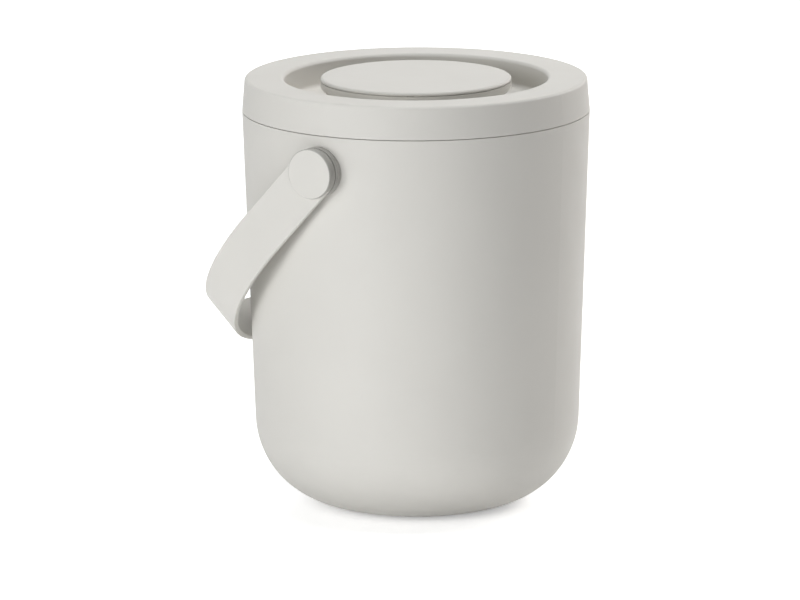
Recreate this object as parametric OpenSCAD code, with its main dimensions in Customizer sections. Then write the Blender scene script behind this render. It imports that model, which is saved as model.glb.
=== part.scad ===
// Compost caddy: a round bucket with a strap handle, a lift-out inner bucket
// and a lift-off lid whose sunk knob holds a carbon filter.
// Millimetres, +Z up. The origin is the centre of the flat base. The handle
// turns about a line along Y and hangs towards -X.

/* [Outer bucket] */
// Outer radius at the shoulder, where the lid meets the bucket
body_r = 87.5; // [80:0.5:100]
// Height of the shoulder above the ground
body_h = 200.6; // [170:0.1:240]
// Loss of radius for each millimetre down the wall
body_draft = 0.034; // [0.02:0.001:0.05]
// Radius of the large rounding between the wall and the flat base
base_round = 44; // [25:0.5:55]
// Thickness of the wall and the floor
wall_t = 3; // [2.2:0.1:4]
// Step from the outer wall in to the neck, which the lid's skirt covers
neck_step = 2.9; // [2.6:0.1:4]
// Thickness of the neck
neck_t = 1.8; // [1.4:0.1:2.4]
// Height of the slope inside the wall that leads in to the neck
lip_h = 10; // [6:0.5:14]
// Height of the neck above the shoulder
neck_h = 4.4; // [3:0.1:7]

/* [Inner bucket] */
// Thickness of the inner bucket's wall and floor
inner_t = 2; // [1.4:0.1:3]
// How much less the inner bucket's wall leans than the outer one's
draft_ease = 0.014; // [0:0.001:0.02]
// Thickness of the flange that hangs on the neck
flange_t = 1.6; // [1.2:0.1:2.4]
// Height of the wide band under the flange
band_h = 7; // [4:0.5:9]
// Height of the slope between the band and the wall below
band_slope_h = 7; // [4:0.5:8]
// How much tighter the inner bucket's rounding is than the space round it
round_ease = 2.5; // [1:0.5:5]
// Radial play of the band inside the neck
band_play = 0.4; // [0.3:0.1:0.8]
// Space between the two floors
floor_space = 1; // [0.5:0.1:3]

/* [Lid] */
// Height of the lid above the visible seam
lid_h = 16.4; // [14:0.1:22]
// Width of the seam between the lid's skirt and the bucket's shoulder
seam_gap = 0.3; // [0.3:0.1:1]
// Radius of the rounding along both edges of the seam
seam_edge = 0.2; // [0.2:0.05:0.8]
// Loss of radius for each millimetre up the skirt
lid_draft = 0.085; // [0.03:0.005:0.1]
// Thickness of the lid's shell
lid_t = 2; // [1.6:0.1:2.6]
// Radius of the outer top edge's rounding
lid_edge = 1.5; // [1:0.1:4]
// Radius of the round hollow in the middle of the lid
moat_r = 66.3; // [60:0.1:70]
// Depth of the hollow below the lid's flat top ring
moat_depth = 14.1; // [12:0.1:18]
// Radius of the rounding at the hollow's top edge
moat_edge = 1.8; // [0.6:0.1:4]
// Radius of the rounding at the hollow's bottom corner
moat_corner = 3; // [1:0.1:5]

/* [Gasket] */
// Thickness of the gasket's base, which the flange carries
gasket_t = 2.2; // [1.5:0.1:3]
// Thickness of the two lips that hug the lid's rib
gasket_lip = 0.9; // [0.6:0.1:1.2]
// Height of the two lips
gasket_lip_h = 2; // [1.5:0.1:3]
// Thickness of the rib that holds the gasket
rib_t = 1.4; // [1:0.1:2]
// Play between the gasket and the skirt's inner face
gasket_play = 0.6; // [0.4:0.1:1]

/* [Knob] */
// Radius of the knob's round top
knob_r = 48; // [44:0.5:52]
// Thickness of the knob's cap at its edge
knob_cap_t = 1.7; // [1.5:0.1:3]
// Radius of the rounding round the cap's top edge
knob_cap_edge = 1.3; // [0.8:0.1:1.3]
// Height of the open groove between the cap and the knob's body
vent_groove = 0.25; // [0.2:0.05:0.8]
// Depth of the open groove under the cap's edge
vent_groove_depth = 1.4; // [1:0.1:2]
// Depth of the knob's upright side below its top
knob_side = 4.2; // [3.4:0.1:5]
// Radius of the rounding under the knob's side
knob_under_edge = 2.4; // [1:0.1:3]
// Thickness of the knob body's shell
knob_t = 2.2; // [1.8:0.1:2.8]
// Width of the ring on the knob's body that carries the cap
seat_w = 2.4; // [1.8:0.1:3]
// Number of snap tabs under the cap
tab_count = 6; // [3:1:8]
// Angle that a snap tab spans
tab_angle = 38; // [20:1:40]
// Thickness of a snap tab
tab_t = 1.6; // [1.2:0.1:2]
// Length of a snap tab
tab_h = 3; // [2:0.1:4]
// Radial play of the snap tabs
tab_play = 0.2; // [0.1:0.05:0.4]
// Number of air notches under the cap
vent_count = 12; // [6:1:24]
// Width of an air notch
vent_w = 4; // [2:0.5:6]
// Depth of an air notch
vent_h = 0.8; // [0.6:0.1:1.2]
// How far an air notch runs out into the groove
vent_over = 0.5; // [0.2:0.1:0.8]

/* [Filter] */
// Ledge of the knob's foot that bears on the lid's floor
foot_ledge = 3; // [2:0.1:5]
// Thickness of the carbon filter pad
filter_t = 9; // [6:0.5:10]
// Radial play of the pad and of the grille's collar in the spigot
filter_play = 0.3; // [0.2:0.05:0.6]
// Radial play of the spigot in the lid's floor
spigot_play = 0.15; // [0.1:0.05:0.3]
// Thickness of the spigot's wall
spigot_t = 1.8; // [1.6:0.1:2.2]
// Length of the spigot below the lid's floor
spigot_h = 7; // [6.5:0.1:9]
// How far the snap bead stands out from the spigot
bead_out = 0.9; // [0.5:0.1:1.2]
// Height of the snap bead
bead_h = 1.4; // [1:0.1:2]

/* [Grille] */
// Thickness of the slotted plate
grille_t = 2.4; // [1.8:0.1:3]
// Overhang of the plate past the spigot
grille_over = 2; // [1:0.1:4]
// Thickness of the collar that stands in the spigot
collar_t = 1.7; // [1.4:0.1:2.2]
// Number of bayonet lugs
lug_count = 3; // [2:1:4]
// Angle that a lug spans
lug_angle = 12; // [8:1:16]
// Height of a lug
lug_h = 1.8; // [1.4:0.1:2.2]
// Height of a lug above the spigot's lower end
lug_rise = 2.2; // [1.8:0.1:2.6]
// Clearance above and below a lug in its slot
lug_play = 0.3; // [0.2:0.05:0.4]
// Angle that is clear on each side of a lug
lug_side_play = 1; // [0.5:0.25:2]
// Angle that the grille turns to come free
twist_angle = 25; // [15:1:30]
// Number of slots on each side of the grip bar
slot_count = 12; // [6:1:14]
// Angle between the grip bar and the first slot
slot_start = 12; // [10:0.5:15]
// Width of a slot
slot_w = 2.2; // [1.4:0.1:2.6]
// Length of a slot along the radius, round ends included
slot_len = 15; // [10:0.5:17]
// Space between the slots and the collar
slot_edge = 2; // [1.5:0.1:4]
// Number of round holes in the grille's middle ring
hole_count = 8; // [4:2:8]
// Radius of the ring that the round holes lie on
hole_ring_r = 9; // [8:0.5:12]
// Radius of a round hole
hole_r = 1.4; // [0.8:0.1:1.6]
// Length of the grip bar under the plate
grip_len = 44; // [30:1:56]
// Thickness of the grip bar
grip_t = 3; // [2:0.1:4]
// Height of the grip bar
grip_h = 6; // [4:0.5:9]

/* [Handle] */
// Width of the strap
strap_w = 24.4; // [20:0.1:30]
// Thickness of the strap
strap_t = 2.8; // [2.4:0.1:4]
// Length of the straight arms, from the pivot to the start of the round bend
strap_arm = 44.5; // [42:0.5:60]
// Radius of the rounding along the strap's edges
strap_edge = 0.6; // [0.3:0.1:1]
// Distance from the shoulder down to the pivot
pivot_drop = 17.8; // [16:0.1:30]
// Gap between the hanging strap and the bucket's wall
rest_gap = 0.3; // [0.2:0.1:1]

/* [Pivots] */
// How far the round boss stands out from the wall
boss_out = 1.2; // [1:0.1:3]
// Thickness of the spacer disc between the boss and the strap
spacer_t = 2.2; // [2:0.1:4]
// Gap on each side of the strap
side_gap = 0.3; // [0.2:0.05:0.5]
// Radius of the rounding along the edges of the spacer and the cap's back
disc_edge = 0.3; // [0.1:0.05:0.6]
// Thickness of the round pivot cap
cap_t = 2.4; // [2:0.1:4]
// How far the cap, the spacer and the boss reach past the strap's eye
cap_over = 0.3; // [0:0.1:1]
// Radius of the rounding round the cap's outer edge
cap_edge = 0.7; // [0.3:0.1:1.5]
// Radius of the hub that the strap turns on
hub_r = 7; // [6:0.5:8]
// Running clearance between the hub and the strap's eye
run_play = 0.06; // [0.03:0.01:0.1]
// Radius of the stem that passes through the wall
stem_r = 4.4; // [4:0.1:5]
// Clearance round the stem in the spacer and the wall
stem_play = 0.1; // [0.05:0.05:0.3]
// Radius of the flat pad inside the wall
pad_r = 8; // [7.5:0.5:10]
// How far the pad stands in from the wall
pad_out = 0.9; // [0.6:0.1:1.5]
// Thickness of the washer
washer_t = 0.8; // [0.5:0.1:1.2]
// Radius of the washer
washer_r = 7; // [6:0.5:7.5]
// Radius of the screw's head
screw_head_r = 3.9; // [3:0.1:5]
// Height of the screw's head
screw_head_h = 2; // [1.5:0.1:2.4]
// Radius of the screw's shank
screw_r = 1.9; // [1.5:0.1:2.1]
// Length of the screw's shank
screw_len = 11.5; // [9:0.5:12]
// Clearance round the screw's shank
screw_play = 0.1; // [0.05:0.05:0.2]
// Free space between the screw's head and the inner bucket
screw_space = 0.8; // [0.5:0.1:2]

/* [Hidden] */
$fn = 96;

// Overlap that joins two solids, and overshoot of a cut
eps = 0.05;
cut = 1;
front = -1;
rear = 1;

// Slope lengths of the drafted walls
body_slope = sqrt(1 + body_draft * body_draft);
inner_draft = body_draft - draft_ease;
inner_slope = sqrt(1 + inner_draft * inner_draft);
lid_slope = sqrt(1 + lid_draft * lid_draft);

// Outer radius of the bucket at height z
function wall_r(z) = body_r - body_draft * (body_h - z);

// Neck
neck_r = body_r - neck_step;
neck_in_r = neck_r - neck_t;
neck_top = body_h + neck_h;

// Pivot stack, as distances from the bucket's axis
pivot_z = body_h - pivot_drop;
boss_end = wall_r(pivot_z) + boss_out;
spacer_end = boss_end + spacer_t;
strap_in = spacer_end + side_gap;
strap_mid = strap_in + strap_t / 2;
cap_start = strap_in + strap_t + side_gap;
pad_end = wall_r(pivot_z) - wall_t * body_slope - pad_out;
washer_end = pad_end - washer_t;
head_end = washer_end - screw_head_h;
cap_r = strap_w / 2 + cap_over;

// Inner bucket
inner_r = head_end - screw_space;
band_r = neck_in_r - band_play;
flange_top = neck_top + flange_t;
inner_top = neck_top - band_h - band_slope_h;
inner_floor = wall_t + floor_space;
inner_round = base_round - wall_t - round_ease;

// Angle below level at which the strap's lower inner edge meets the wall
reach = strap_arm + strap_mid - strap_t / 2;
hang_x = reach + body_draft * strap_w / 2;
hang_y = body_draft * reach - strap_w / 2;
hang_d = wall_r(pivot_z) + rest_gap;
hang = atan2(hang_y, hang_x) + acos(hang_d / norm([hang_x, hang_y]));

// Lid
skirt_z = body_h + seam_gap;
lid_top = skirt_z + lid_h;
moat_z = lid_top - moat_depth;
lid_under = moat_z - lid_t;
lid_arc_z = lid_top - lid_edge;
lid_arc_r = body_r - lid_draft * (lid_arc_z - skirt_z) - lid_edge * lid_slope;

// Inner radius of the skirt at height z
function skirt_in_r(z) = body_r - lid_draft * (z - skirt_z) - lid_t * lid_slope;

// Gasket
gasket_top = flange_top + gasket_t + gasket_lip_h;
gasket_r = skirt_in_r(gasket_top) - gasket_play;
rib_r = gasket_r - gasket_lip;
rib_z = flange_top + gasket_t;

// Knob
knob_seat_z = lid_top - knob_cap_t;
knob_round_r = knob_r - knob_under_edge;
knob_round_z = lid_top - knob_side;
cone_angle = 45;
cone_top_r = knob_round_r + knob_under_edge * cos(cone_angle);
cone_top_z = knob_round_z - knob_under_edge * sin(cone_angle);
foot_r = cone_top_r - (cone_top_z - moat_z) * tan(cone_angle);
cone_in_r = foot_r - knob_t / cos(cone_angle);
seat_r = knob_r - vent_groove_depth;
chamber_r = seat_r - seat_w;
chamber_z = moat_z + (chamber_r - cone_in_r) / tan(cone_angle);

// Spigot under the knob, and the filter pad in it
spigot_r = foot_r - foot_ledge;
spigot_in_r = spigot_r - spigot_t;
spigot_in_z = moat_z + (spigot_in_r - cone_in_r) / tan(cone_angle);
spigot_z = lid_under - spigot_h;
filter_r = spigot_in_r - filter_play;

// Grille
grille_top = spigot_z - filter_play;
collar_r = spigot_in_r - filter_play;
collar_top = lid_under - filter_play;
plate_r = spigot_r + grille_over;
lug_z = spigot_z + lug_rise;
lug_r = spigot_r - lug_play / 2;
slot_mid_r = collar_r - collar_t - slot_edge - slot_len / 2;
slot_step = (180 - 2 * slot_start) / (slot_count - 1);

// Points of an arc about [r, z], from angle a to angle b
function arc(r, z, rad, a, b, n = 10) =
    [for (i = [0:n]) [r + rad * cos(a + (b - a) * i / n), z + rad * sin(a + (b - a) * i / n)]];

// Outline of a drafted wall that rounds into a flat floor at height z0,
// from the axis out and up to radius r at height z
function cup(r, z, z0, draft, round, n) =
    let (slope = sqrt(1 + draft * draft),
         cz = z0 + round,
         cr = r - draft * (z - cz) - round * slope)
    concat([[0, z0]], arc(cr, cz, round, -90, -atan(draft), n), [[r, z]]);

// The same points in the other order
function back(p) = [for (i = [len(p) - 1:-1:0]) p[i]];

// Stands a piece, built up from the bucket's axis, at one of the two pivots
module at_pivot(side) {
    translate([0, 0, pivot_z])
        rotate([side * -90, 0, 0])
            children();
}

// Section across the strap: thickness along X, width along Y, soft edges
module strap_section() {
    x = strap_t / 2 - strap_edge;
    y = strap_w / 2 - strap_edge;
    polygon(concat(arc(x, y, strap_edge, 0, 90, 4), arc(-x, y, strap_edge, 90, 180, 4),
                   arc(-x, -y, strap_edge, 180, 270, 4), arc(x, -y, strap_edge, 270, 360, 4)));
}

// Bucket with a drafted wall, a neck under the lid and two pivot bosses
module outer_bucket() {
    rim_in = wall_r(body_h) - wall_t * body_slope;
    edge_z = body_h - seam_edge;
    edge_r = wall_r(edge_z);
    lip_z = body_h - lip_h;
    lip_r = wall_r(lip_z) - wall_t * body_slope;
    color("#d4d2cd")
    difference() {
        union() {
            rotate_extrude()
                polygon(concat(
                    cup(edge_r, edge_z, 0, body_draft, base_round, 30),
                    arc(edge_r - seam_edge, edge_z, seam_edge, 0, 90, 4),
                    [[neck_r, body_h], [neck_r, neck_top], [neck_in_r, neck_top],
                     [neck_in_r, body_h - (rim_in - neck_in_r)]],
                    back(cup(lip_r, lip_z, wall_t, body_draft, base_round - wall_t, 30))));
            for (side = [front, rear])
                at_pivot(side) {
                    translate([0, 0, wall_r(pivot_z) - wall_t])
                        cylinder(r = cap_r, h = boss_out + wall_t);
                    translate([0, 0, pad_end])
                        cylinder(r = pad_r, h = pad_out + wall_t / 2);
                }
        }
        for (side = [front, rear])
            at_pivot(side)
                translate([0, 0, pad_end - cut])
                    cylinder(r = stem_r + stem_play, h = boss_end - pad_end + 2 * cut);
    }
}

// Lift-out bucket that hangs by its flange on the neck
module inner_bucket() {
    in_top = inner_r - inner_t * inner_slope;
    color("#bdbbb6")
    rotate_extrude()
        polygon(concat(
            cup(inner_r, inner_top, inner_floor, inner_draft, inner_round, 24),
            [[band_r, neck_top - band_h], [band_r, neck_top],
             [neck_r, neck_top], [neck_r, flange_top],
             [band_r - inner_t, flange_top], [band_r - inner_t, neck_top - band_h + inner_t / 3]],
            back(cup(in_top, inner_top + inner_t / 3, inner_floor + inner_t, inner_draft,
                     inner_round - inner_t, 24))));
}

// Flat strap bent to a U, with a round eye at each end
module handle_strap() {
    color("#d4d2cd")
    translate([0, 0, pivot_z])
    rotate([0, -hang, 0])
    difference() {
        union() {
            translate([-strap_arm, 0, 0])
                rotate([0, 0, 90])
                    rotate_extrude(angle = 180)
                        translate([strap_mid, 0])
                            strap_section();
            for (side = [front, rear])
                translate([0, side * strap_mid, 0]) {
                    translate([-strap_arm, 0, 0])
                        rotate([90, 0, 90])
                            linear_extrude(strap_arm)
                                strap_section();
                    rotate([90, 0, 0])
                        rotate_extrude()
                            intersection() {
                                rotate(90)
                                    strap_section();
                                translate([0, -strap_t])
                                    square([strap_w, 2 * strap_t]);
                            }
                }
        }
        rotate([90, 0, 0])
            cylinder(r = hub_r + run_play, h = 4 * strap_mid, center = true);
    }
}

// Cap whose hub carries the strap and whose stem passes through the wall
module pivot_cap(side) {
    top = cap_start + cap_t;
    stem_short = 0.2;
    hole_spare = 0.5;
    stem_end = pad_end + stem_short;
    hole_end = washer_end + screw_len + hole_spare;
    color("#d6d4cf")
    at_pivot(side)
        rotate_extrude()
            polygon(concat(
                [[screw_r + screw_play, stem_end], [stem_r, stem_end], [stem_r, spacer_end],
                 [hub_r, spacer_end], [hub_r, cap_start]],
                arc(cap_r - disc_edge, cap_start + disc_edge, disc_edge, -90, 0, 3),
                arc(cap_r - cap_edge, top - cap_edge, cap_edge, 0, 90, 5),
                [[0, top], [0, hole_end], [screw_r + screw_play, hole_end]]));
}

// Disc between the bucket's boss and the strap
module pivot_spacer(side) {
    color("#c9c7c2")
    at_pivot(side)
        rotate_extrude()
            polygon(concat(
                [[stem_r + stem_play, boss_end]],
                arc(cap_r - disc_edge, boss_end + disc_edge, disc_edge, -90, 0, 3),
                arc(cap_r - disc_edge, spacer_end - disc_edge, disc_edge, 0, 90, 3),
                [[stem_r + stem_play, spacer_end]]));
}

// Washers inside the wall
module pivot_washers() {
    color("#b9bcc0")
    for (side = [front, rear])
        at_pivot(side)
            translate([0, 0, washer_end])
                difference() {
                    cylinder(r = washer_r, h = washer_t);
                    translate([0, 0, -cut])
                        cylinder(r = screw_r + screw_play, h = washer_t + 2 * cut);
                }
}

// Screws that hold the caps from inside
module pivot_screws() {
    slot = 0.9;
    color("#a9acb0")
    for (side = [front, rear])
        at_pivot(side)
            difference() {
                union() {
                    translate([0, 0, head_end])
                        cylinder(r = screw_head_r, h = screw_head_h);
                    translate([0, 0, washer_end - eps])
                        cylinder(r = screw_r, h = screw_len + eps);
                }
                for (turn = [0, 90])
                    translate([0, 0, head_end])
                        rotate(turn)
                            cube([1.2 * screw_head_r, slot, 2 * slot], center = true);
            }
}

// Ring, skirt and hollow of the lid, in one shell
module lid_shell() {
    least_edge = 0.2;
    in_edge = max(lid_edge - lid_t, least_edge);
    in_edge_z = lid_top - lid_t - in_edge;
    in_moat_edge = max(moat_edge - lid_t, least_edge);
    color("#d6d4cf")
    rotate_extrude() {
        polygon(concat(
            arc(body_r - (1 + lid_draft) * seam_edge, skirt_z + seam_edge, seam_edge, -90, 0, 4),
            arc(lid_arc_r, lid_arc_z, lid_edge, atan(lid_draft), 90, 8),
            arc(moat_r + moat_edge, lid_top - moat_edge, moat_edge, 90, 180, 8),
            arc(moat_r - moat_corner, moat_z + moat_corner, moat_corner, 0, -90, 8),
            [[spigot_r + spigot_play, moat_z], [spigot_r + spigot_play, lid_under]],
            arc(moat_r - moat_corner, moat_z + moat_corner, moat_corner + lid_t, -90, 0, 8),
            arc(moat_r + lid_t + in_moat_edge, lid_top - lid_t - in_moat_edge, in_moat_edge, 180, 90, 4),
            arc(skirt_in_r(in_edge_z) - in_edge * lid_slope, in_edge_z, in_edge, 90, atan(lid_draft), 4),
            [[skirt_in_r(skirt_z), skirt_z]]));
        translate([rib_r - rib_t, rib_z])
            square([rib_t, lid_top - lid_t / 2 - rib_z]);
    }
}

// Soft ring pushed on the lid's rib, which sits on the inner bucket's flange
module lid_gasket() {
    base_r = rib_r - rib_t - gasket_lip;
    width = gasket_r - base_r;
    color("#8f8d89")
    rotate_extrude()
        difference() {
            translate([base_r, flange_top])
                square([width, gasket_t + gasket_lip_h]);
            translate([rib_r - rib_t, rib_z])
                square([rib_t, gasket_lip_h + cut]);
        }
}

// Hollow funnel of the knob, snapped into the lid's floor; it houses the filter
module knob_body() {
    seat_z = knob_seat_z;
    groove_z = seat_z - vent_groove;
    side = lug_angle / 2 + lug_side_play;
    slot_top = lug_z + lug_h + lug_play;
    color("#d4d2cd")
    difference() {
        rotate_extrude()
            polygon(concat(
                [[spigot_in_r, spigot_z], [spigot_r, spigot_z],
                 [spigot_r, lid_under - bead_h], [spigot_r + bead_out, lid_under - bead_h / 2],
                 [spigot_r + bead_out, lid_under], [spigot_r, lid_under],
                 [spigot_r, moat_z], [foot_r, moat_z]],
                arc(knob_round_r, knob_round_z, knob_under_edge, -cone_angle, 0, 6),
                [[knob_r, groove_z], [seat_r, groove_z], [seat_r, seat_z],
                 [chamber_r, seat_z], [chamber_r, chamber_z], [spigot_in_r, spigot_in_z]]));
        for (i = [0:vent_count - 1])
            rotate(i * 360 / vent_count)
                translate([chamber_r - cut, -vent_w / 2, seat_z - vent_h])
                    cube([seat_w + cut + vent_over, vent_w, vent_h + cut]);
        for (i = [0:lug_count - 1])
            rotate(i * 360 / lug_count) {
                bayonet_cut(spigot_z - cut, slot_top, twist_angle - side, 2 * side);
                bayonet_cut(lug_z - lug_play, slot_top, -side, side + twist_angle);
            }
    }
}

// Cut through the spigot's wall between two heights, over an angle from start
module bayonet_cut(z0, z1, start, angle) {
    rotate(start)
        rotate_extrude(angle = angle)
            translate([spigot_in_r - cut, z0])
                square([spigot_t + bead_out + 2 * cut, z1 - z0]);
}

// Round top of the knob, held by snap tabs inside the knob's body
module knob_cap() {
    soft = 0.2;
    tab_in = chamber_r - tab_play - tab_t;
    color("#d6d4cf")
    union() {
        rotate_extrude()
            polygon(concat(
                [[0, knob_seat_z], [knob_r - soft, knob_seat_z], [knob_r, knob_seat_z + soft]],
                arc(knob_r - knob_cap_edge, lid_top - knob_cap_edge, knob_cap_edge, 0, 90, 7),
                [[0, lid_top]]));
        for (i = [0:tab_count - 1])
            rotate((i + 0.5) * 360 / tab_count - tab_angle / 2)
                rotate_extrude(angle = tab_angle)
                    translate([tab_in, knob_seat_z - tab_h])
                        square([tab_t, tab_h + eps]);
    }
}

// Round pad of carbon foam inside the knob
module carbon_filter() {
    soft = 0.8;
    z0 = collar_top;
    z1 = collar_top + filter_t;
    color("#2b2b2c")
    rotate_extrude()
        polygon(concat([[0, z0], [filter_r - soft, z0]],
                       arc(filter_r - soft, z0 + soft, soft, -90, 0, 3),
                       arc(filter_r - soft, z1 - soft, soft, 0, 90, 3),
                       [[0, z1]]));
}

// Slotted plate under the filter, with a collar, bayonet lugs and a grip bar
module filter_grille() {
    soft = 0.8;
    color("#c9c7c2")
    difference() {
        union() {
            rotate_extrude()
                polygon(concat(
                    [[0, grille_top - grille_t]],
                    arc(plate_r - soft, grille_top - grille_t + soft, soft, -90, 0, 4),
                    [[plate_r, grille_top], [collar_r, grille_top], [collar_r, collar_top],
                     [collar_r - collar_t, collar_top], [collar_r - collar_t, grille_top],
                     [0, grille_top]]));
            for (i = [0:lug_count - 1])
                rotate(i * 360 / lug_count - lug_angle / 2)
                    rotate_extrude(angle = lug_angle)
                        translate([collar_r - eps, lug_z])
                            square([lug_r - collar_r + eps, lug_h]);
            translate([-grip_len / 2, -grip_t / 2, grille_top - grille_t - grip_h])
                cube([grip_len, grip_t, grip_h + eps]);
        }
        for (half = [0, 180])
            for (i = [0:slot_count - 1])
                rotate(half + slot_start + i * slot_step)
                    grille_slot();
        for (i = [0:hole_count - 1])
            rotate((i + 0.5) * 360 / hole_count)
                translate([hole_ring_r, 0, grille_top - grille_t - cut])
                    cylinder(r = hole_r, h = grille_t + 2 * cut);
    }
}

// One slot with round ends, cut through the plate along the radius
module grille_slot() {
    half = (slot_len - slot_w) / 2;
    translate([slot_mid_r, 0, grille_top - grille_t - cut]) {
        translate([-half, -slot_w / 2, 0])
            cube([2 * half, slot_w, grille_t + 2 * cut]);
        for (end = [-half, half])
            translate([end, 0, 0])
                cylinder(r = slot_w / 2, h = grille_t + 2 * cut);
    }
}

outer_bucket();
inner_bucket();
handle_strap();
pivot_cap(front);  // pivot_cap_front
pivot_cap(rear);  // pivot_cap_rear
pivot_spacer(front);  // pivot_spacer_front
pivot_spacer(rear);  // pivot_spacer_rear
pivot_washers();
pivot_screws();
lid_shell();
lid_gasket();
knob_body();
knob_cap();
carbon_filter();
filter_grille();
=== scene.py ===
"""Looks for the compost caddy.

Materials for its CAD pieces, a foam pad, a plain floor, soft light and the camera.
"""

import math

import bmesh
import bpy
from mathutils import Euler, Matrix, Vector, noise as solid_noise


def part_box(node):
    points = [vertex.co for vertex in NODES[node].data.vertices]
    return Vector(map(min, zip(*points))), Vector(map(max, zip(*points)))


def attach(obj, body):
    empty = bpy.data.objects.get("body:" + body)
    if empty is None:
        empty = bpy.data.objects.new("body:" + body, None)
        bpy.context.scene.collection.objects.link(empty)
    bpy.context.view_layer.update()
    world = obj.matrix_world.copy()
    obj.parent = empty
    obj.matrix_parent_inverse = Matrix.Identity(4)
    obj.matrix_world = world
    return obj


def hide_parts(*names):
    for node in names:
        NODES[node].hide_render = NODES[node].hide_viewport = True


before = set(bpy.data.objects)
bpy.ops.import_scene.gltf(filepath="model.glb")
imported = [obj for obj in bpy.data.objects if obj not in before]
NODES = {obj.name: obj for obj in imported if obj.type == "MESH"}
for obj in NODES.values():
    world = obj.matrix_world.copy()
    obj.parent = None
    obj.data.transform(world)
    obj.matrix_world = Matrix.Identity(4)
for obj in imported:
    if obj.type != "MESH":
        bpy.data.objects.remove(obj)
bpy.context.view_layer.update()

# Camera: it looks at a point on the caddy's axis. Image measures are pixels of an 800 x 600 picture.
TARGET = Vector((0.0, 0.0, 0.105))
CAMERA_DISTANCE = 3.2
CAMERA_AZIMUTH = 33.4
CAMERA_ELEVATION = 12.13
CAMERA_ROLL = -0.226
FOCAL_PIXELS = 6318.6
TARGET_PIXEL = (416.79, 294.58)
IMAGE_SIZE = (800, 600)
SENSOR_MM = 36.0
CLIP_RANGE = (0.05, 50.0)

# Light: sky is the strength of the plain surround, the rest are softboxes.
SKY = 0.02
WHITE = (1.0, 1.0, 1.0, 1.0)
SOFT_WHITE = (0.99, 1.0, 1.01)
WARM_WHITE = (1.0, 0.97, 0.95)
# name: (azimuth, elevation, distance, width, height, watts, colour); the camera stands at azimuth 33
SOFTBOXES = {
    "key": (-4.0, 18.0, 1.6, 0.8, 0.5, 7.5, SOFT_WHITE),
    "low_key": (-12.0, 1.0, 1.6, 0.8, 0.22, 5.9, SOFT_WHITE),
    "low_front": (33.0, -9.3, 0.42, 0.5, 0.06, 0.16, SOFT_WHITE),
    "right": (150.0, 27.5, 1.6, 0.8, 0.6, 11.0, WARM_WHITE),
    "overhead": (33.0, 89.9, 1.5, 0.5, 0.5, 11.9, SOFT_WHITE),
    "back": (-150.0, 20.0, 1.6, 1.2, 0.9, 4.0, SOFT_WHITE),
}

# The box behind the caddy would glance off the lid into the camera
UNSEEN_IN_GLOSS = ("back",)

# Floor
FLOOR_HALF = 6.0
FLOOR_DROP = 0.00005
FLOOR_COLOUR = (0.96, 0.96, 0.96)
FLOOR_SPREAD = 0.004
# The floor's glow rises from the first strength at the first distance from the caddy's axis to the second;
# the weaker glow near the foot is a painted contact shade
FLOOR_GLOW = (0.25, 0.58)
FLOOR_GLOW_REACH = (0.037, 0.063)

# Pivots: a point on the line through them, and the strap's direction away from it at rest
PIVOT_AXIS = Vector((0.0, 1.0, 0.0))
ACROSS_PIVOTS = Vector((1.0, 0.0, 1.0))
CAP_LOW, CAP_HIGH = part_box("pivot_cap_front")
PIVOT = (CAP_LOW + CAP_HIGH) / 2 * ACROSS_PIVOTS
BOSS_RADIUS = (CAP_HIGH.x - CAP_LOW.x) / 2
BOSS_MARGIN = 0.0003
STRAP_LOW, STRAP_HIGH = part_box("handle_strap")
STRAP_ARM = ((STRAP_LOW + STRAP_HIGH) / 2 - PIVOT).normalized()
# How squarely a surface faces an axis where the painted shade grey on the pivot stack's sides starts and
# where it is full
SIDE_TURN = (0.97, 0.8)
BOSS_TURN = (0.8, 0.5)

# Moulded plastic: noise cells per metre, depth and strength of the grain's bump, shine
FLOW_CELLS = 22.0
GRAIN_CELLS = 2600.0
DRIFT_CELLS = 60.0
GRAIN_DEPTH = 0.00003
GRAIN_STRENGTH = 0.5
ROUGH_DRIFT = 0.04
PLASTIC_SPECULAR = 0.4

# Steel and foam: noise cells per metre and depth of the bump
TURNING_CELLS = 3000.0
TURNING_DEPTH = 0.00002
FOAM_CELLS = 700.0
FOAM_DEPTH = 0.0006
# Distance from a cell's edge, in cells, where the painted shade in a pore is full
FOAM_THREAD = 0.12

# Foam pad: rounding and waist of its side, mesh spacing, and its pores
PAD_EDGE = 0.0008
PAD_EDGE_STEPS = 4
PAD_STEP = 0.001
PAD_SIDES = 200
PAD_WAIST = 0.0003
PORE_SIZE = 0.0028
PORE_DEPTH = 0.0007
PORE_REACH = 0.6

# Colours, linear
SHELL_GREY = (0.67, 0.655, 0.615)
# Painted shade: the darker grey that stands in for the shade on the pivot stack's sides and spacers
PAINTED_SHADE_GREY = (0.4, 0.39, 0.365)
LINER_GREY = (0.5, 0.49, 0.47)
SILICONE_GREY = (0.3, 0.29, 0.28)
CARBON_BLACK = (0.022, 0.022, 0.024)
STEEL_GREY = (0.6, 0.61, 0.62)


def add(tree, kind, inputs=None, **settings):
    """A new node with its settings, and its inputs set or linked."""
    made = tree.nodes.new(kind)
    for key, value in settings.items():
        setattr(made, key, value)
    for key, value in (inputs or {}).items():
        if isinstance(value, bpy.types.NodeSocket):
            tree.links.new(value, made.inputs[key])
        else:
            made.inputs[key].default_value = value
    return made


def empty_material(name):
    """A material with a bare node tree, and its output node."""
    material = bpy.data.materials.new(name)
    material.use_nodes = True
    tree = material.node_tree
    tree.nodes.clear()
    return material, tree, tree.nodes.new("ShaderNodeOutputMaterial")


def shade(colour, factor):
    """An RGBA colour, made lighter or darker by a factor."""
    return tuple(min(1.0, channel * factor) for channel in colour) + (1.0,)


def noise(tree, place, scale, detail=2.0, roughness=0.5):
    """A noise texture's value, with scale in cells per metre."""
    inputs = {"Vector": place, "Scale": scale, "Detail": detail, "Roughness": roughness}
    return add(tree, "ShaderNodeTexNoise", inputs).outputs["Fac"]


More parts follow.
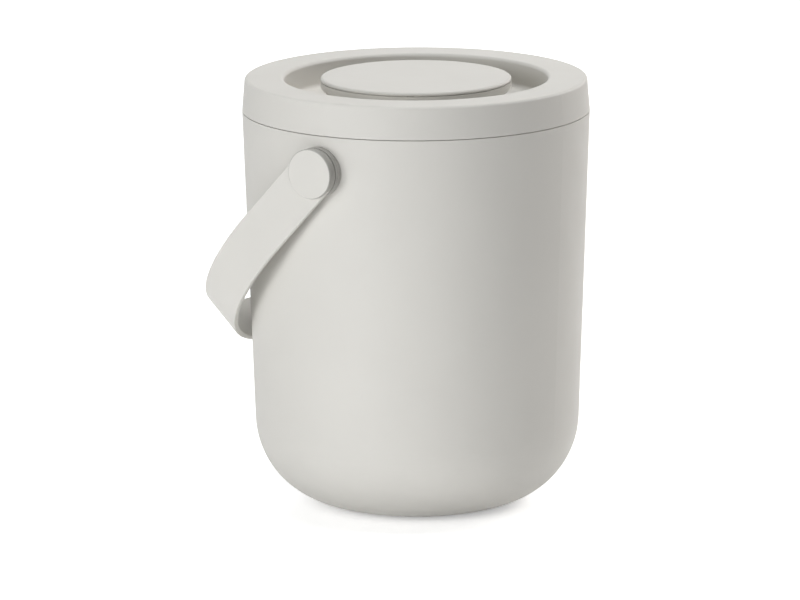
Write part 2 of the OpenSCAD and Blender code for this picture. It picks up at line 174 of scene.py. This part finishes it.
def ranged(tree, value, low, high):
    """A noise value spread over the range from low to high."""
    inputs = {"Value": value, "From Min": 0.3, "From Max": 0.7, "To Min": low, "To Max": high}
    return add(tree, "ShaderNodeMapRange", inputs).outputs["Result"]


def two_tone(tree, value, colour, spread):
    """A colour that varies by a share of itself with a noise value."""
    factor = ranged(tree, value, 0.0, 1.0)
    tones = {0: factor, 6: shade(colour, 1 - spread), 7: shade(colour, 1 + spread)}
    return add(tree, "ShaderNodeMix", tones, data_type="RGBA").outputs[2]


def maths(tree, operation, *values):
    """The result of a Math node on numbers or sockets."""
    return add(tree, "ShaderNodeMath", dict(enumerate(values)), operation=operation).outputs[0]


def vector_maths(tree, operation, *values, output=0):
    """The result of a Vector Math node on vectors or sockets."""
    made = add(tree, "ShaderNodeVectorMath", dict(enumerate(values)), operation=operation)
    return made.outputs[output]


def object_place(tree):
    """Where a point is in its object's own coordinates."""
    return add(tree, "ShaderNodeTexCoord").outputs["Object"]


def bumped(tree, height, strength, depth, **settings):
    """A surface normal that follows a height."""
    inputs = {"Strength": strength, "Distance": depth, "Height": height}
    return add(tree, "ShaderNodeBump", inputs, **settings).outputs["Normal"]


def surface(tree, out, inputs):
    """Puts a Principled shader on a material's output."""
    shader = add(tree, "ShaderNodeBsdfPrincipled", inputs)
    tree.links.new(shader.outputs[0], out.inputs["Surface"])


def turned_from(tree, axis, start, full):
    """1 where the surface faces away from both directions of an axis, 0 where it faces along it."""
    normal = add(tree, "ShaderNodeTexCoord").outputs["Normal"]
    along = vector_maths(tree, "DOT_PRODUCT", normal, axis, output="Value")
    steps = {"Value": maths(tree, "ABSOLUTE", along), "From Min": start, "From Max": full}
    return add(tree, "ShaderNodeMapRange", steps, interpolation_type="SMOOTHSTEP").outputs["Result"]


def disc_sides(tree):
    """1 on the round side of a disc that stands on the line through the pivots."""
    return turned_from(tree, PIVOT_AXIS, *SIDE_TURN)


def from_pivot(tree):
    """Where a point is, measured from the line through the pivots."""
    return vector_maths(tree, "ADD", object_place(tree), -PIVOT)


def boss_sides(tree):
    """1 on the round sides of the bucket's two bosses."""
    level = vector_maths(tree, "MULTIPLY", from_pivot(tree), ACROSS_PIVOTS)
    away = vector_maths(tree, "LENGTH", level, output="Value")
    near = maths(tree, "LESS_THAN", away, BOSS_RADIUS + BOSS_MARGIN)
    return maths(tree, "MULTIPLY", near, turned_from(tree, PIVOT_AXIS, *BOSS_TURN))


def strap_sides(tree):
    """1 on the round end of the strap's eyes."""
    along_arm = vector_maths(tree, "DOT_PRODUCT", from_pivot(tree), STRAP_ARM, output="Value")
    end = maths(tree, "LESS_THAN", along_arm, 0.0)
    return maths(tree, "MULTIPLY", end, turned_from(tree, PIVOT_AXIS, *BOSS_TURN))


def moulded(name, colour, rough=0.55, spread=0.012, sides=None):
    """Moulded plastic: a fine grain, slight drifts of tone and roughness, and painted shade in a darker grey
    on the sides if asked.
    """
    material, tree, out = empty_material(name)
    place = object_place(tree)
    tone = two_tone(tree, noise(tree, place, FLOW_CELLS, 3.0), colour, spread)
    # Painted shade: the masked sides turn to the darker grey
    if sides:
        painted_shade = {0: sides(tree), 6: tone, 7: PAINTED_SHADE_GREY + (1.0,)}
        tone = add(tree, "ShaderNodeMix", painted_shade, data_type="RGBA").outputs[2]
    grain = noise(tree, place, GRAIN_CELLS, 3.0, 0.6)
    drift = noise(tree, place, DRIFT_CELLS)
    inputs = {
        "Base Color": tone,
        "Roughness": ranged(tree, drift, rough - ROUGH_DRIFT, rough + ROUGH_DRIFT),
        "Specular IOR Level": PLASTIC_SPECULAR,
        "Normal": bumped(tree, grain, GRAIN_STRENGTH, GRAIN_DEPTH),
    }
    surface(tree, out, inputs)
    return material


def steel(name):
    """Plain stainless steel with fine turning marks."""
    material, tree, out = empty_material(name)
    marks = noise(tree, object_place(tree), TURNING_CELLS)
    inputs = {
        "Base Color": two_tone(tree, marks, STEEL_GREY, 0.05),
        "Metallic": 1.0,
        "Roughness": ranged(tree, marks, 0.25, 0.4),
        "Normal": bumped(tree, marks, 0.2, TURNING_DEPTH),
    }
    surface(tree, out, inputs)
    return material


def foam(name, colour):
    """Open-celled foam: pores painted darker than the threads between them as shade in their hollows, and
    hardly any shine.
    """
    material, tree, out = empty_material(name)
    place = object_place(tree)
    cell_inputs = {"Vector": place, "Scale": FOAM_CELLS}
    cells = add(tree, "ShaderNodeTexVoronoi", cell_inputs, feature="DISTANCE_TO_EDGE")
    pore_inputs = {"Value": cells.outputs["Distance"], "From Max": FOAM_THREAD}
    pores = add(tree, "ShaderNodeMapRange", pore_inputs).outputs["Result"]
    # Painted shade: the pores' hollows get a darker tone than the threads
    threads = {0: pores, 6: shade(colour, 2.2), 7: shade(colour, 0.4)}
    inputs = {
        "Base Color": add(tree, "ShaderNodeMix", threads, data_type="RGBA").outputs[2],
        "Roughness": ranged(tree, noise(tree, place, 300.0), 0.85, 0.98),
        "Specular IOR Level": 0.15,
        "Normal": bumped(tree, pores, 0.9, FOAM_DEPTH, invert=True),
    }
    surface(tree, out, inputs)
    return material


def pad_section(radius, thick):
    """Points of half the pad's section, from the middle of its top to the middle of its underside."""
    flat = radius - PAD_EDGE
    steps = round(flat / PAD_STEP)
    face = [(flat * i / steps, thick / 2) for i in range(steps + 1)]
    turns = [math.pi / 2 * (1 - i / PAD_EDGE_STEPS) for i in range(1, PAD_EDGE_STEPS + 1)]
    edge = [(flat + PAD_EDGE * math.cos(a), thick / 2 - PAD_EDGE * (1 - math.sin(a))) for a in turns]
    upper = face + edge
    lower = [(r, -z) for r, z in reversed(upper)]
    return upper + lower


def pored(point, radius):
    """A point of the pad moved in by the pores, and on the side also by its slight waist."""
    distances, _ = solid_noise.voronoi(point / PORE_SIZE)
    depth = PORE_DEPTH * max(0.0, 1.0 - distances[0] / PORE_REACH)
    waist = PAD_WAIST * math.hypot(point.x, point.y) / radius
    across = Vector((point.x, point.y, 0.0))
    inward = across.normalized() * waist if across.length else Vector()
    return point - inward - Vector((0.0, 0.0, math.copysign(depth, point.z)))


def foam_pad():
    """The carbon pad in the knob: a die-cut round of open foam in place of its CAD solid."""
    low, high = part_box("carbon_filter")
    centre = (low + high) / 2
    radius = (high.x - low.x) / 2
    section = pad_section(radius, high.z - low.z)
    mesh = bpy.data.meshes.new("foam_pad")
    build = bmesh.new()
    rings = []
    for r, z in section:
        if r == 0:
            rings.append([build.verts.new(centre + pored(Vector((0.0, 0.0, z)), radius))])
            continue
        turns = [2 * math.pi * i / PAD_SIDES for i in range(PAD_SIDES)]
        spots = [Vector((r * math.cos(a), r * math.sin(a), z)) for a in turns]
        rings.append([build.verts.new(centre + pored(spot, radius)) for spot in spots])
    for one, two in zip(rings, rings[1:]):
        for i in range(PAD_SIDES):
            j = (i + 1) % PAD_SIDES
            corners = [one[i % len(one)], two[i % len(two)], two[j % len(two)], one[j % len(one)]]
            build.faces.new(list(dict.fromkeys(corners)))
    bmesh.ops.recalc_face_normals(build, faces=build.faces)
    build.to_mesh(mesh)
    build.free()
    mesh.shade_smooth()
    mesh.materials.append(foam("foam_carbon", CARBON_BLACK))
    pad = bpy.data.objects.new("foam_pad", mesh)
    bpy.context.scene.collection.objects.link(pad)
    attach(pad, "lid")
    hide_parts("carbon_filter")


def dress(material, *names):
    """Gives CAD nodes a material."""
    for name in names:
        mesh = NODES[name].data
        mesh.materials.clear()
        mesh.materials.append(material)


def direction(azimuth, elevation):
    """A unit vector towards a bearing round the caddy, in degrees; azimuth 0 is towards -Y, 90 towards +X."""
    a, e = math.radians(azimuth), math.radians(elevation)
    return Vector((math.cos(e) * math.sin(a), -math.cos(e) * math.cos(a), math.sin(e)))


def aim(thing, place, roll=0.0):
    """Puts a camera or lamp at a place, looking at the target."""
    look = (TARGET - place).to_track_quat("-Z", "Y").to_euler()
    turn = Euler((0, 0, math.radians(roll))).to_matrix()
    thing.location = place
    thing.rotation_euler = (look.to_matrix() @ turn).to_euler()


def make_camera():
    """The camera at the photograph's viewing angle."""
    data = bpy.data.cameras.new("camera")
    data.sensor_width = SENSOR_MM
    data.lens = FOCAL_PIXELS * SENSOR_MM / IMAGE_SIZE[0]
    data.shift_x = (IMAGE_SIZE[0] / 2 - TARGET_PIXEL[0]) / IMAGE_SIZE[0]
    data.shift_y = (TARGET_PIXEL[1] - IMAGE_SIZE[1] / 2) / IMAGE_SIZE[0]
    data.clip_start, data.clip_end = CLIP_RANGE
    camera = bpy.data.objects.new("camera", data)
    bpy.context.scene.collection.objects.link(camera)
    aim(camera, TARGET + CAMERA_DISTANCE * direction(CAMERA_AZIMUTH, CAMERA_ELEVATION), CAMERA_ROLL)
    bpy.context.scene.camera = camera


def make_softbox(name, azimuth, elevation, distance, width, height, watts, colour):
    """A rectangular area lamp that faces the caddy."""
    data = bpy.data.lights.new(name, "AREA")
    data.shape = "RECTANGLE"
    data.size, data.size_y = width, height
    data.energy = watts
    data.color = colour
    lamp = bpy.data.objects.new(name, data)
    lamp.visible_camera = False
    lamp.visible_glossy = name not in UNSEEN_IN_GLOSS
    bpy.context.scene.collection.objects.link(lamp)
    aim(lamp, TARGET + distance * direction(azimuth, elevation))


def seen_plainly(tree):
    """1 on rays that show the background by itself: camera, glossy and transmission rays."""
    path = add(tree, "ShaderNodeLightPath").outputs
    either = maths(tree, "MAXIMUM", path["Is Camera Ray"], path["Is Glossy Ray"])
    return maths(tree, "MAXIMUM", either, path["Is Transmission Ray"])


def make_world():
    """A plain surround that lights the caddy and looks white."""
    world = bpy.data.worlds.new("surround")
    bpy.context.scene.world = world
    world.use_nodes = True
    tree = world.node_tree
    tree.nodes.clear()
    sky = add(tree, "ShaderNodeBackground", {"Color": WHITE, "Strength": SKY})
    white = add(tree, "ShaderNodeBackground", {"Color": WHITE, "Strength": 1.0})
    mix = add(tree, "ShaderNodeMixShader", {0: seen_plainly(tree), 1: sky.outputs[0], 2: white.outputs[0]})
    out = add(tree, "ShaderNodeOutputWorld")
    tree.links.new(mix.outputs[0], out.inputs["Surface"])


def make_floor():
    """A white floor that keeps the caddy's shadow; its glow lifts it to white, and is weaker near the caddy's
    axis as a painted contact shade round its foot.
    """
    material, tree, out = empty_material("floor_white")
    place = object_place(tree)
    tone = two_tone(tree, noise(tree, place, 3.0), FLOOR_COLOUR, FLOOR_SPREAD)
    paint_inputs = {"Base Color": tone, "Roughness": 0.35, "Specular IOR Level": 0.3}
    paint = add(tree, "ShaderNodeBsdfPrincipled", paint_inputs)
    # Painted shade: less glow near the caddy's axis darkens the floor round its foot
    away = vector_maths(tree, "LENGTH", place, output="Value")
    rise = {"Value": away, "From Min": FLOOR_GLOW_REACH[0], "From Max": FLOOR_GLOW_REACH[1]}
    rise.update({"To Min": FLOOR_GLOW[0], "To Max": FLOOR_GLOW[1]})
    level = add(tree, "ShaderNodeMapRange", rise, interpolation_type="SMOOTHSTEP").outputs["Result"]
    strength = maths(tree, "MULTIPLY", seen_plainly(tree), level)
    glow = add(tree, "ShaderNodeEmission", {"Color": WHITE, "Strength": strength})
    both = add(tree, "ShaderNodeAddShader", {0: paint.outputs[0], 1: glow.outputs[0]})
    tree.links.new(both.outputs[0], out.inputs["Surface"])
    half = FLOOR_HALF
    corners = [(-half, -half), (half, -half), (half, half), (-half, half)]
    mesh = bpy.data.meshes.new("floor")
    mesh.from_pydata([(x, y, 0.0) for x, y in corners], [], [(0, 1, 2, 3)])
    mesh.materials.append(material)
    floor = bpy.data.objects.new("floor", mesh)
    floor.location.z = -FLOOR_DROP
    bpy.context.scene.collection.objects.link(floor)


dress(moulded("lid_plastic", SHELL_GREY), "lid_shell", "knob_body", "knob_cap")
# Painted shade: the round sides of the bosses, strap eyes and pivot caps get the darker grey
dress(moulded("bucket_plastic", SHELL_GREY, sides=boss_sides), "outer_bucket")
dress(moulded("strap_plastic", SHELL_GREY, sides=strap_sides), "handle_strap")
dress(moulded("cap_plastic", SHELL_GREY, sides=disc_sides), "pivot_cap_front", "pivot_cap_rear")
# Painted shade: the spacers are wholly in the darker shade grey
dress(moulded("spacer_plastic", PAINTED_SHADE_GREY), "pivot_spacer_front", "pivot_spacer_rear")
dress(moulded("liner_plastic", LINER_GREY, rough=0.45), "inner_bucket", "filter_grille")
dress(moulded("gasket_silicone", SILICONE_GREY, rough=0.5, spread=0.02), "lid_gasket")
dress(steel("screw_steel"), "pivot_washers", "pivot_screws")
foam_pad()

bpy.context.scene.view_settings.view_transform = "Standard"
make_camera()
make_world()
for box_name, box in SOFTBOXES.items():
    make_softbox(box_name, *box)
make_floor()
